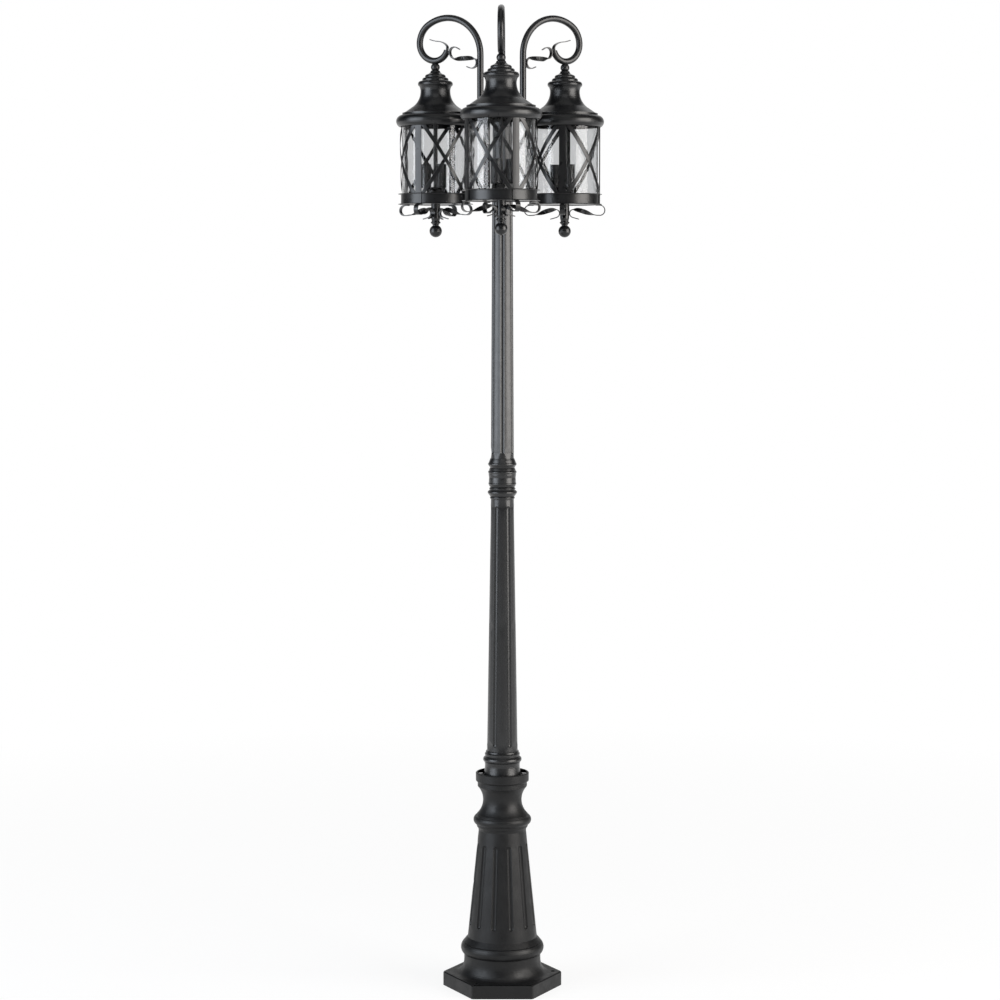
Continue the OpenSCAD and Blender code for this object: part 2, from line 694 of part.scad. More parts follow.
// The strap from the curl's end to the upright
rod_face = arm_root_r + tube_r + strap_t / 2;
lower_scroll = [
    [tip_x - 33, tip_z + 1],
    [tip_x - 21, tip_z + 7],
    [tip_x - 10.5, tip_z + 4],
    [tip_x - 7.5, tip_z - 6],
    [tip_x - 13, tip_z - 17],
    [tip_x - 24, tip_z - 20],
    [(tip_x + rod_face) / 2, tip_z - 20],
    [rod_face + 14, tip_z - 20],
    [rod_face + 3.5, tip_z - 23],
    [rod_face + 0.2, tip_z - 31],
    [rod_face + 4, tip_z - 40],
    [rod_face + 14, tip_z - 43.5],
    [rod_face + 27, tip_z - 39]];

module arm_scrolls() color([0.12, 0.13, 0.15]) {
    upper = spline(upper_scroll, 4);
    strap(upper, [for (i = [0:len(upper) - 1]) strap_w * (1 - 0.7 * pow(i / (len(upper) - 1), 3))],
        [for (p = upper) 0], strap_t);
    lower = spline(lower_scroll, 4);
    last = len(lower) - 1;
    strap(lower, [for (i = [0:last]) strap_w * (1 - 0.6 * pow(abs(2 * i / last - 1), 6))],
        [for (i = [0:last]) 180 * min(max((i / last - 0.36) / 0.28, 0), 1)], strap_t);
}

module knob() color([0.12, 0.13, 0.15]) translate([lantern_r, 0, 0]) difference() {
    intersection() {
        translate([0, 0, knob_z]) sphere(r = knob_r);
        column(knob_r + over, knob_z - knob_flat, knob_z + knob_r);
    }
    column(rod_r + run_gap, knob_z - knob_r - over, head_z + over);
    column(head_r + 0.3, head_z - face_gap, head_z + head_h + face_gap);
    translate([0, 0, curl_z]) rotate([90, 0, 0]) rotate_extrude() translate([curl_r, 0]) circle(r = tube_r, $fn = 32);
}

// Lantern, drawn on the Z axis

// The roof's sheet as an outline set inwards by s
function roof_line(s) = concat(
    [[rod_r + fixed_gap, roof_top_z - s]],
    arc(roof_bead_r - roof_bead, roof_top_z - roof_bead, roof_bead - s, 90, -40, 8),
    arc(roof_neck_r + neck_bend, flare_z, neck_bend + s, 180 - neck_turn, 180, 6),
    arc(roof_neck_r + flare_r, flare_z, flare_r + s, 185, 180 + flare_turn, 9),
    [[ledge_r - 5 - s * 0.4, ledge_z + 1 - s], [ledge_r - s, ledge_z - s]],
    arc(roll_r, brim_mid_z, brim_bulge - s, acos((ledge_r - s - roll_r) / (brim_bulge - s)), -brim_lip, 12));

module roof() color([0.12, 0.12, 0.13])
    turned(concat(roof_line(0), [for (i = [len(roof_line(roof_t)) - 1:-1:0]) roof_line(roof_t)[i]]));

module cap() color([0.12, 0.12, 0.13]) turned(concat(
    [[rod_r + fixed_gap, roof_top_z], [roof_bead_r - roof_bead - 3, roof_top_z]],
    bead(roof_bead_r - roof_bead - 3, roof_top_z + cap_h * 0.11, cap_bead, -15, 70, 6),
    bead(roof_bead_r - roof_bead - 9.5, roof_top_z + cap_h * 0.42, cap_bead, -30, 70, 6),
    [[knob_r + 5, cap_top_z - 7], [knob_r + 1.5, cap_top_z - 4], [knob_r, cap_top_z]],
    [[rod_r + fixed_gap, cap_top_z]]));

// A piece of ring from angle a0 to a1
module ring_bar(r_out, r_in, z0, z1, a0, a1) {
    rotate(a0) rotate_extrude(angle = a1 - a0)
        translate([r_in, z0]) square([r_out - r_in, z1 - z0]);
}

module cage() color([0.15, 0.15, 0.17]) difference() {
    hoop(cage_r, cage_in, band_z + flange_t, cage_top_z);
    for (k = [0:3]) ring_bar(cage_r + over, cage_in - over, band_z - over, ring_z,
        90 * k + upright_a / 2, 90 * (k + 1) - upright_a / 2);
}

// One diagonal strip across a bay, leaning one way or the other
module brace(r_out, way) {
    bay_h = ring_z - band_top_z;
    half_w = cage_r * sin(bay_a / 2);
    lean = atan((half_w - brace_w / 2) / (bay_h / 2));
    intersection() {
        ring_bar(r_out, r_out - brace_layer, band_top_z, ring_z, -bay_a / 2, bay_a / 2);
        translate([cage_r / 2 + over, 0, band_top_z + bay_h / 2]) rotate([way * lean, 0, 0])
            cube([cage_r, brace_w, 3 * bay_h], center = true);
    }
}

module braces() color([0.15, 0.15, 0.17]) for (k = [0:3]) rotate(90 * k + 45) {
    brace(cage_r, 1);
    brace(cage_r - brace_layer - fixed_gap, -1);
}

// The uprights pass through notches in the band's upper flange
module band() color([0.12, 0.12, 0.13]) difference() {
    turned([
        [band_in - lip_w, band_z], [flange_r - 0.5, band_z], [flange_r, band_z + flange_t / 2],
        [flange_r - 0.5, band_z + flange_t], [band_r, band_z + flange_t],
        [band_r, band_top_z - flange_t], [flange_r - 0.5, band_top_z - flange_t],
        [flange_r, band_top_z - flange_t / 2], [flange_r - 0.5, band_top_z], [band_in, band_top_z],
        [band_in, band_z + flange_t], [band_in - lip_w, band_z + flange_t]]);
    for (k = [0:3]) ring_bar(cage_r + fixed_gap, band_r - fixed_gap, band_top_z - flange_t - 1, band_top_z + over,
        90 * k - upright_a / 2 - 0.1, 90 * k + upright_a / 2 + 0.1);
}

module floor() color([0.12, 0.12, 0.13])
    hoop(band_in - fixed_gap, rod_r + fixed_gap, floor_z, floor_top_z);

module glass() color([0.8, 0.85, 0.87, 0.4]) hoop(glass_r, glass_r - glass_t, floor_top_z, glass_top_z);

module rod() color([0.16, 0.16, 0.17]) {
    column(rod_r, rod_z, head_z + 1);
    column(head_r, head_z, head_z + head_h);
}

// Three copies round the lantern's axis, at the lamp holders
module at_holders() {
    for (k = [0:2]) rotate(120 * k + holder_turn) translate([holder_r, 0, 0]) children();
}

module cluster() color([0.08, 0.08, 0.08]) difference() {
    union() {
        difference() {
            turned([[0, floor_top_z], [cup_r, floor_top_z], [cup_r, cup_top_z - 3], [cup_r - 3, cup_top_z],
                [0, cup_top_z]]);
            column(cup_r - 1.8, floor_top_z - over, cup_top_z - 4);
        }
        column(cup_r - 4, cup_top_z - over, holder_z);
        at_holders() column(sleeve_r, cup_top_z, holder_z);
    }
    column(rod_r + fixed_gap, floor_top_z - over, holder_z + over);
}

module sleeves() color([0.07, 0.07, 0.08])
    at_holders() hoop(sleeve_r, sleeve_r - sleeve_wall, holder_z, holder_z + sleeve_h);

module sockets() color([0.85, 0.84, 0.8]) at_holders() difference() {
    column(holder_body_r, holder_z, holder_z + sleeve_h - holder_drop);
    column(shell_r, holder_z + sleeve_h - holder_drop - shell_l, holder_z + sleeve_h);
}

// One scrolled foot, as distances from the lantern's axis and heights from the band
loop_r = foot_loop / 2 - strap_t / 2 - fixed_gap / 2;
loop_x = foot_reach - foot_loop / 2;
stem_face = stem_r + strap_t / 2 + fixed_gap;
// The strap rises from its loop to the stem, turns down along it and ends in a tip
foot_rise = foot_loop * 0.54;
foot_bend = foot_loop * 0.35;
foot_tip = foot_loop * 0.85;
bend_low_z = foot_rise - foot_bend - foot_loop / 2 - loop_r;
foot_path = concat(
    [[loop_x - foot_loop * 0.38, loop_r - foot_loop / 2]],
    arc(loop_x, -foot_loop / 2, loop_r, 90, -100, 10),
    [for (i = [1:9]) let (t = i / 10)
        [(loop_x - loop_r * 0.17) * (1 - t) + (stem_face + foot_bend) * t,
            -foot_loop / 2 - loop_r + foot_rise * t * t * (3 - 2 * t)]],
    arc(stem_face + foot_bend, bend_low_z, foot_bend, 80, 180, 5),
    arc(stem_face + foot_bend * 1.1, bend_low_z, foot_bend * 1.1, 190, 250, 4),
    [[stem_face + foot_tip * 0.64, bend_low_z - foot_bend * 1.28],
        [stem_face + foot_tip, bend_low_z - foot_bend * 1.5]]);

module feet() color([0.12, 0.13, 0.14]) {
    last = len(foot_path) - 1;
    for (k = [0:3]) rotate(90 * k) translate([0, 0, band_z])
        strap(foot_path, [for (i = [0:last]) strap_w * (1 - 0.6 * pow(max(i / last - 0.6, 0) / 0.4, 2))],
            [for (i = [0:last]) 180 * min(max((i / last - 0.4) / 0.26, 0), 1)], strap_t);
}

module stem() color([0.1, 0.1, 0.11]) difference() {
    turned(concat(
        [[0, stem_z + 0.5], [bead_r - 2.5, stem_z]],
        bead(bead_r, stem_z + bead_h / 2, bead_h / 2, -80, 80, 6),
        [[stem_r - 1.5, stem_z + bead_h + 1.5], [stem_r, stem_z + bead_h + 7], [stem_r, floor_z], [0, floor_z]]));
    column(rod_r + fixed_gap, rod_z - 0.5, floor_z + over);
    column(stud_r + run_gap, stem_z - over, rod_z);
}

module ball() color([0.1, 0.1, 0.11]) {
    translate([0, 0, ball_z]) sphere(r = ball_r);
    turned([[0, ball_z], [ball_neck_r - 0.5, ball_z], [ball_neck_r - 0.5, ball_top_z - 3],
        [ball_neck_r + 1.5, ball_top_z - 1], [ball_neck_r + 1.5, ball_top_z], [0, ball_top_z]]);
    column(stud_r, ball_top_z - over, ball_top_z + stud_l);
}

base();
collar();
collar_bolts();
lower_shaft();
coupling();
upper_shaft();
hub();
arm_plate();
hub_fasteners();
for (i = [0:2]) {
    on_arm(i) arm();
    on_arm(i) arm_scrolls();
    on_arm(i) knob();
    on_lantern(i) cap();
    on_lantern(i) roof();
    on_lantern(i) cage();
    on_lantern(i) braces();
    on_lantern(i) band();
    on_lantern(i) glass();
    on_lantern(i) floor();
    on_lantern(i) rod();
    on_lantern(i) cluster();
    on_lantern(i) sleeves();
    on_lantern(i) sockets();
    on_lantern(i) feet();
    on_lantern(i) stem();
    on_lantern(i) ball();
}
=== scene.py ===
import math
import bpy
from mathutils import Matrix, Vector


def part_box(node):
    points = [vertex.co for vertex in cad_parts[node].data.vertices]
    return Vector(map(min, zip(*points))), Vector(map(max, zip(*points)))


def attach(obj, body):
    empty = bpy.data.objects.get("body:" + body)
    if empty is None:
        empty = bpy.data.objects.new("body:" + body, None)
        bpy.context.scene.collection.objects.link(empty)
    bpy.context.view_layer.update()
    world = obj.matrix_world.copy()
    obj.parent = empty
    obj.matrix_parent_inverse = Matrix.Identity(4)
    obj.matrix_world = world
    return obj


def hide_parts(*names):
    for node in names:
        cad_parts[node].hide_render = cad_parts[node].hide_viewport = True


bl_info = {
    "name": "Outdoor Post Light",
    "version": (1, 0, 0),
    "blender": (4, 5, 0),
    "location": "View3D > Sidebar > Post Light",
    "description": "Paints the post light's castings, glazes its lanterns and sets a plain studio",
    "category": "Object",
}

import bpy
from bpy.props import FloatProperty, FloatVectorProperty, IntProperty, PointerProperty
from bpy.types import Operator, Panel, PropertyGroup
from mathutils import Vector

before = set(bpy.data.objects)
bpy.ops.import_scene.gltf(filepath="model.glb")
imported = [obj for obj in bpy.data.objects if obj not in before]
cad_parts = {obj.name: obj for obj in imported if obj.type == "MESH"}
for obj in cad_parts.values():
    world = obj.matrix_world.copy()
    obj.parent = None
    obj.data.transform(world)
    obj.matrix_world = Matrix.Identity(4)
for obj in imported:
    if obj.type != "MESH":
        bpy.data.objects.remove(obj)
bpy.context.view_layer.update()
MM = 0.001
WHITE = (1.0, 1.0, 1.0, 1.0)

SIDES = ("front", "right", "left")
# How each lantern stands turned on its rod, in degrees, as in the CAD model
LANTERN_TURN = {"front": 23.6, "right": 84.8, "left": -27.6}

# Rippled glass: faces round it, cuts up its height, and the waves in its surface.
# A wave's width is a share of the way round, and its height is drawn out upright.
GLASS_SIDES = 180
GLASS_CUTS = 48
WAVE_WIDTH = 0.012
WAVE_SQUASH = 0.12

# Lamp holders, evenly round each rod; the first is turned this far from the lantern's front, in degrees
HOLDERS = 3
HOLDER_RADIUS = 22.5 * MM
HOLDER_TURN = 65.0
FRONT = -90.0

# Screw shell that lines a lamp holder: ribs of two radii above a floor with a raised contact
SHELL_SIDES = 32
SHELL_CREST = 5.95 * MM
SHELL_ROOT = 5.45 * MM
SHELL_WALL = 0.3 * MM
SHELL_DEPTH = 23.0 * MM
SHELL_BELOW_RIM = 1.0 * MM
SHELL_FLOOR = 0.4 * MM
CONTACT_INSET = 3.6 * MM
CONTACT_RISE = 0.9 * MM

# The satin black that the arms and the lanterns share
BLACK_SATIN = {"roughness": 0.31, "gloss": 0.3}
# Width of the lighter band along the castings' edges: thin paint with a painted highlight
EDGE_WEAR_AND_HIGHLIGHT = 2.5 * MM

# Studio floor: its size and its gap below the foot. From the first distance from the post to the second
# it goes from nearly white to all white, which fades the shadow out.
FLOOR_SIZE = 60.0
FLOOR_GAP = 0.5 * MM
SHADOW_FADE = (1.0, 3.5)
SHADOW_WHITE = (0.86, 1.0)

# World: its strength as light. In gloss it goes from dark to pale as the view turns to the back.
WORLD_LIGHT = 0.25
WORLD_BACK = (0.6, 0.95)
WORLD_GLOSS = (0.02, 0.7)

# Where each lamp stands and points, its width and height, its watts and its colour
SOFTBOXES = {
    "cool_softbox": {
        "place": (-4.0, -2.1, 2.6), "target": (0, 0, 2.6), "size": (3.4, 4.2), "watts": 262,
        "colour": (0.86, 0.92, 1.0),
    },
    "warm_softbox": {
        "place": (4.0, -2.1, 2.6), "target": (0, 0, 2.6), "size": (3.6, 4.2), "watts": 340,
        "colour": (1.0, 0.965, 0.93),
    },
    "back_softbox": {
        "place": (0.4, 3.2, 4.6), "target": (0, 0, 1.2), "size": (3.0, 2.0), "watts": 14,
        "colour": (1.0, 1.0, 1.0),
    },
    "top_softbox": {
        "place": (0, -0.5, 5.2), "target": (0, -0.1, 0), "size": (3.0, 3.0), "watts": 14,
        "colour": (1.0, 0.99, 0.97),
    },
    "front_softbox": {
        "place": (0, -3.6, 4.6), "target": (0, 0, 1.0), "size": (3.0, 1.4), "watts": 22,
        "colour": (1.0, 1.0, 1.0),
    },
}
# Width of the camera's sensor in millimetres, for the focal length
CAMERA_SENSOR = 36.0


# Selecting and finishing


def select_only(piece):
    """Leaves one object selected and active."""
    if bpy.context.object and bpy.context.object.mode != "OBJECT":
        bpy.ops.object.mode_set(mode="OBJECT")
    bpy.ops.object.select_all(action="DESELECT")
    piece.select_set(True)
    bpy.context.view_layer.objects.active = piece


def start_from(name):
    """Names the primitive that was just added and returns it."""
    piece = bpy.context.object
    piece.name = name
    piece.data.name = name
    select_only(piece)
    return piece


def pick(piece, test, kind="VERT"):
    """In edit mode, selects the vertices or edges whose world points pass a test."""
    bpy.ops.mesh.select_mode(type=kind)
    bpy.ops.mesh.select_all(action="DESELECT")
    bpy.ops.object.mode_set(mode="OBJECT")
    mesh = piece.data
    places = [piece.matrix_world @ v.co for v in mesh.vertices]
    if kind == "EDGE":
        for edge in mesh.edges:
            edge.select = test(*(places[i] for i in edge.vertices))
    else:
        for vertex in mesh.vertices:
            vertex.select = test(places[vertex.index])
    bpy.ops.object.mode_set(mode="EDIT")


def add_wall(piece, thickness):
    """Gives a shell its wall, inwards from its surface."""
    wall = piece.modifiers.new("wall", "SOLIDIFY")
    wall.thickness = thickness
    wall.offset = -1.0


def apply_all(piece, smooth_angle):
    """Applies every modifier and the place of a piece, and smooths its shallow edges."""
    select_only(piece)
    for modifier in list(piece.modifiers):
        bpy.ops.object.modifier_apply(modifier=modifier.name)
    bpy.ops.object.transform_apply(location=True, rotation=True, scale=True)
    bpy.ops.object.shade_smooth_by_angle(angle=math.radians(smooth_angle))


def copy_to(model, name, place, turn=0.0):
    """Copies a model from the post's axis to a place beside it, turned in degrees, with its own mesh."""
    piece = model.copy()
    piece.data = model.data.copy()
    piece.name = name
    piece.data.name = name
    bpy.context.scene.collection.objects.link(piece)
    piece.location = (place.x, place.y, 0.0)
    piece.rotation_euler.z = math.radians(turn)
    select_only(piece)
    bpy.ops.object.transform_apply(location=True, rotation=True, scale=True)
    return piece


def dress(piece, body, slot, material, *nodes):
    """Hangs a new piece on its body and gives it its finish."""
    piece.data.materials.clear()
    piece.data.materials.append(material)
    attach(piece, body)
    if nodes:
        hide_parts(*nodes)


def paint_nodes(material, names):
    """Gives CAD nodes a finish."""
    for name in names:
        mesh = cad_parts[name].data
        mesh.materials.clear()
        mesh.materials.append(material)


def middle(node):
    """The middle of a CAD node's box."""
    low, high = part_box(node)
    return (Vector(low) + Vector(high)) / 2


def holder_places(side):
    """Where the lamp holders of a lantern stand, round its rod."""
    axis = middle(f"rod_{side}")
    first = FRONT + LANTERN_TURN[side] + HOLDER_TURN
    angles = [math.radians(first + 360.0 / HOLDERS * k) for k in range(HOLDERS)]
    return [axis + HOLDER_RADIUS * Vector((math.cos(angle), math.sin(angle), 0)) for angle in angles]


# Finishes


class Nodes:
    """A node tree under way: adds nodes and joins them up."""

    def __init__(self, tree):
        self.tree = tree

    def node(self, kind, settings=None, **inputs):
        """Adds a node; an input is a value or another node's output."""
        made = self.tree.nodes.new(kind)
        for key, value in (settings or {}).items():
            setattr(made, key, value)
        self.feed(made, **inputs)
        return made

    def feed(self, made, **inputs):
        """Sets or links a node's sockets, by name with _ for a space, or by number as in0."""
        for key, value in inputs.items():
            socket = made.inputs[int(key[2:]) if key.startswith("in") else key.replace("_", " ")]
            if isinstance(value, bpy.types.NodeSocket):
                self.tree.links.new(value, socket)
            else:
                socket.default_value = value

    def maths(self, operation, first, second):
        """A sum on two numbers."""
        return self.node("ShaderNodeMath", {"operation": operation}, in0=first, in1=second).outputs[0]

    def ramp(self, value, span, onto=(0.0, 1.0)):
        """Stretches a span of values onto another."""
        made = self.node("ShaderNodeMapRange", Value=value, From_Min=span[0], From_Max=span[1])
        self.feed(made, To_Min=onto[0], To_Max=onto[1])
        return made.outputs["Result"]

    def choose(self, test, otherwise, chosen):
        """One number where a test is 1 and another where it is 0."""
        return self.node("ShaderNodeMix", Factor=test, A=otherwise, B=chosen).outputs["Result"]


class Finish(Nodes):
    """A node material under way."""

    def __init__(self, name):
        self.material = bpy.data.materials.new(name)
        self.material.use_nodes = True
        super().__init__(self.material.node_tree)
        self.shader = self.tree.nodes["Principled BSDF"]
        self.place = self.node("ShaderNodeTexCoord").outputs["Object"]

    def surface(self, **inputs):
        """Sets or links the shader's own sockets."""
        self.feed(self.shader, **inputs)

    def stretched(self, scale):
        """Object coordinates with each axis scaled apart."""
        return self.node("ShaderNodeMapping", Vector=self.place, Scale=scale).outputs["Vector"]

    def noise(self, scale, detail=2.0, where=None):
        """Noise with features about 1 / scale metres across."""
        made = self.node("ShaderNodeTexNoise", Vector=where or self.place, Scale=scale, Detail=detail)
        return made.outputs["Fac"]

    def mix(self, share, first, second):
        """Mixes two colours."""
        made = self.node("ShaderNodeMix", {"data_type": "RGBA"}, Factor=share, A=first, B=second)
        return made.outputs["Result"]

    def bump(self, height, depth, strength, over=None):
        """A bump of the given depth in metres, on top of another if there is one."""
        made = self.node("ShaderNodeBump", Height=height, Distance=depth, Strength=strength)
        if over:
            self.feed(made, Normal=over)
        return made.outputs["Normal"]


def tone(colour, share):
    """A colour made lighter or darker by a share."""
    return tuple(min(1.0, c * (1.0 + share)) for c in colour[:3]) + (1.0,)


def powder_coat(name, colour, roughness, gloss=0.0):
    """Satin powder coat with fine orange peel, faint clouding and pale specks."""
    finish = Finish(name)
    cloud = finish.ramp(finish.noise(scale=9.0, detail=3.0), span=(0.35, 0.65))
    speck = finish.ramp(finish.noise(scale=2600.0, detail=1.0), span=(0.62, 0.72), onto=(0.0, 0.35))
    base = finish.mix(cloud, tone(colour, -0.12), tone(colour, 0.12))
    base = finish.mix(speck, base, tone(colour, 0.6))
    uneven = (roughness - 0.05, roughness + 0.06)
    grain = finish.bump(finish.noise(scale=1900.0), depth=0.04 * MM, strength=0.3)
    peel = finish.bump(finish.noise(scale=420.0), depth=0.1 * MM, strength=0.4, over=grain)
    finish.surface(
        Base_Color=base, Normal=peel, Specular_IOR_Level=0.3, Coat_Weight=gloss, Coat_Roughness=0.34,
        Roughness=finish.ramp(finish.noise(scale=60.0, detail=3.0), span=(0.3, 0.7), onto=uneven),
    )
    return finish.material


def sand_cast_paint(name, colour, roughness):
    """Paint over a sand casting: pitted skin with painted shade in its pits, dusty hollows, and lighter
    edges of thin paint with a painted highlight.
    """
    finish = Finish(name)
    skin = finish.noise(scale=700.0, detail=5.0)
    lumps = finish.noise(scale=55.0, detail=4.0)
    dust = finish.ramp(finish.noise(scale=14.0, detail=5.0), span=(0.42, 0.7), onto=(0.0, 0.7))
    base = finish.mix(dust, tone(colour, -0.1), tone(colour, 0.22))
    # Painted shade: the low spots of the pitted skin are darkened, as if shade lay in the pits
    painted_pit_shade = finish.ramp(skin, span=(0.28, 0.42), onto=(0.6, 0.0))
    base = finish.mix(painted_pit_shade, base, tone(colour, -0.45))
    # Lighter edges: partly thin paint, partly a painted highlight along the rounded edges
    bevel_normal = finish.node("ShaderNodeBevel", {"samples": 6}, Radius=EDGE_WEAR_AND_HIGHLIGHT).outputs["Normal"]
    true = finish.node("ShaderNodeNewGeometry").outputs["Normal"]
    facing = finish.node("ShaderNodeVectorMath", {"operation": "DOT_PRODUCT"}, in0=bevel_normal, in1=true)
    edge = finish.ramp(facing.outputs["Value"], span=(0.8, 0.985), onto=(0.55, 0.0))
    base = finish.mix(edge, base, tone(colour, 1.6))
    uneven = (roughness - 0.07, roughness + 0.08)
    ripple = finish.bump(lumps, depth=0.6 * MM, strength=0.35)
    finish.surface(
        Base_Color=base, Roughness=finish.ramp(lumps, span=(0.3, 0.7), onto=uneven),
        Normal=finish.bump(skin, depth=0.25 * MM, strength=0.6, over=ripple), Specular_IOR_Level=0.32,
    )
    return finish.material


def clear_glass(name, colour):
    """Clear glass with a grey tint, a few dull smears and faint upright streaks."""
    finish = Finish(name)
    smear = finish.ramp(finish.noise(scale=30.0, detail=4.0), span=(0.5, 0.8), onto=(0.0, 0.06))
    streaks = finish.noise(scale=1.0, detail=1.0, where=finish.stretched((260.0, 260.0, 30.0)))
    finish.surface(
        Base_Color=(*colour[:3], 1.0), Transmission_Weight=1.0, IOR=1.3, Specular_IOR_Level=0.15,
        Roughness=smear, Normal=finish.bump(streaks, depth=0.2 * MM, strength=0.04),
    )
    return finish.material


def moulded_plastic(name, colour, roughness):
    """Satin moulded plastic with a fine even grain."""
    finish = Finish(name)
    cloud = finish.ramp(finish.noise(scale=90.0), span=(0.4, 0.6))
    grain = finish.noise(scale=2400.0, detail=1.0)
    finish.surface(
        Base_Color=finish.mix(cloud, tone(colour, -0.1), tone(colour, 0.15)), Roughness=roughness,
        Normal=finish.bump(grain, depth=0.05 * MM, strength=0.5),
    )
    return finish.material


def glazed_porcelain(name, colour):
    """Off-white porcelain with a soft glaze."""
    finish = Finish(name)
    cloud = finish.ramp(finish.noise(scale=120.0, detail=3.0), span=(0.4, 0.6))
    finish.surface(
        Base_Color=finish.mix(cloud, tone(colour, -0.06), tone(colour, 0.03)), Roughness=0.3,
        Coat_Weight=0.4, Normal=finish.bump(finish.noise(scale=300.0), depth=0.1 * MM, strength=0.3),
    )
    return finish.material


def plated_steel(name, colour, roughness):
    """Zinc or nickel plating with fine turning marks."""
    finish = Finish(name)
    marks = finish.noise(scale=1.0, where=finish.stretched((300.0, 300.0, 3000.0)))
    cloud = finish.ramp(finish.noise(scale=160.0, detail=3.0), span=(0.35, 0.65))
    uneven = (roughness - 0.06, roughness + 0.1)
    finish.surface(
        Base_Color=finish.mix(cloud, tone(colour, -0.2), tone(colour, 0.08)), Metallic=1.0,
        Roughness=finish.ramp(marks, span=(0.3, 0.7), onto=uneven),
        Normal=finish.bump(marks, depth=0.05 * MM, strength=0.5),
    )
    return finish.material


# Settings


def colour_setting(name, description, default):
    """A colour that the panel shows as a swatch."""
    return FloatVectorProperty(
        name=name, description=description, default=default, subtype="COLOR", min=0.0, max=1.0,
    )


class PostLightPaint(PropertyGroup):
    """Colours of the paints and of the small parts."""

    base_colour: colour_setting("Base", "Paint of the base casting and the collar", (0.0048, 0.0049, 0.0052))
    shaft_colour: colour_setting("Shafts", "Paint of the shafts and coupling", (0.0065, 0.0067, 0.0072))
    lantern_colour: colour_setting("Lanterns", "Paint of the lanterns and the arms", (0.003, 0.0033, 0.0039))
    glass_colour: colour_setting("Glass", "Tint of the lantern glass", (0.74, 0.745, 0.75))
    plastic_colour: colour_setting("Candle sleeves", "Plastic of the candle sleeves", (0.012, 0.012, 0.013))
    porcelain_colour: colour_setting("Lamp holders", "Porcelain of the lamp holders", (0.8, 0.79, 0.75))
    zinc_colour: colour_setting("Bolts", "Plating of the bolts and screws", (0.5, 0.5, 0.51))
    nickel_colour: colour_setting("Screw shells", "Plating of the screw shells", (0.62, 0.58, 0.5))


class PostLightSizes(PropertyGroup):
    """Sizes of what is modelled here."""

    ripple_depth: FloatProperty(
        name="Ripple", description="How far the glass waves in and out", default=0.2 * MM, min=0.0,
        unit="LENGTH",
    )
    glass_wall: FloatProperty(
        name="Glass wall", description="Thickness of the glass", default=2.2 * MM, min=1.0 * MM,
        unit="LENGTH",
    )
    thread_turns: IntProperty(
        name="Threads", description="Ridges in a lamp holder's screw shell", default=8, min=3, max=12
    )


class PostLightStudio(PropertyGroup):
    """Camera and light."""

    camera_distance: FloatProperty(
        name="Distance", description="Camera from the post's axis", default=5.786, min=1.0, unit="LENGTH"
    )
    camera_height: FloatProperty(
        name="Height", description="Camera above the ground", default=1.663, unit="LENGTH"
    )
    camera_side: FloatProperty(
        name="Side", description="Camera right of the post's axis", default=-5.5 * MM, unit="LENGTH"
    )
    camera_tilt: FloatProperty(
        name="Tilt", description="Camera's look below the horizon", default=math.radians(4.98),
        subtype="ANGLE",
    )
    lens: FloatProperty(name="Lens", description="Focal length in millimetres", default=89.28, min=10.0)
    light_level: FloatProperty(name="Light", description="Strength of all the lamps", default=1.0, min=0.0)


# Pieces


class POSTLIGHT_OT_castings(Operator):
    """Paints the base casting and its collar, and plates the bolts and screws"""

    bl_idname = "postlight.castings"
    bl_label = "Base Castings"

    def execute(self, context):
        paint = context.scene.post_light_paint
        charcoal = sand_cast_paint("charcoal_casting", paint.base_colour, roughness=0.44)
        paint_nodes(charcoal, ["base", "collar"])
        zinc = plated_steel("zinc_bolt", paint.zinc_colour, roughness=0.36)
        paint_nodes(zinc, ["collar_bolts", "hub_fasteners"])
        return {"FINISHED"}


class POSTLIGHT_OT_shafts(Operator):
    """Paints the fluted shafts and the coupling between them"""

    bl_idname = "postlight.shafts"
    bl_label = "Shafts and Coupling"

    def execute(self, context):
        paint = context.scene.post_light_paint
        coat = powder_coat("grey_shaft_paint", paint.shaft_colour, roughness=0.3, gloss=0.45)
        paint_nodes(coat, ["lower_shaft", "coupling", "upper_shaft"])
        return {"FINISHED"}


class POSTLIGHT_OT_head(Operator):
    """Paints the hub, its plate and the scrolled arms"""

    bl_idname = "postlight.head"
    bl_label = "Hub and Arms"

    def execute(self, context):
        paint = context.scene.post_light_paint
        coat = powder_coat("black_arm_paint", paint.lantern_colour, **BLACK_SATIN)
        arms = [f"{part}_{side}" for side in SIDES for part in ("arm", "arm_scrolls", "knob")]
        paint_nodes(coat, ["hub", "arm_plate", *arms])
        return {"FINISHED"}


class POSTLIGHT_OT_lantern_metal(Operator):
    """Paints the metal of the three lanterns"""

    bl_idname = "postlight.lantern_metal"
    bl_label = "Lantern Metal"

    def execute(self, context):
        paint = context.scene.post_light_paint
        coat = powder_coat("black_lantern_paint", paint.lantern_colour, **BLACK_SATIN)
        parts = ("cap", "roof", "cage", "braces", "band", "floor", "rod", "feet", "stem", "ball")
        paint_nodes(coat, [f"{part}_{side}" for side in SIDES for part in parts])
        return {"FINISHED"}


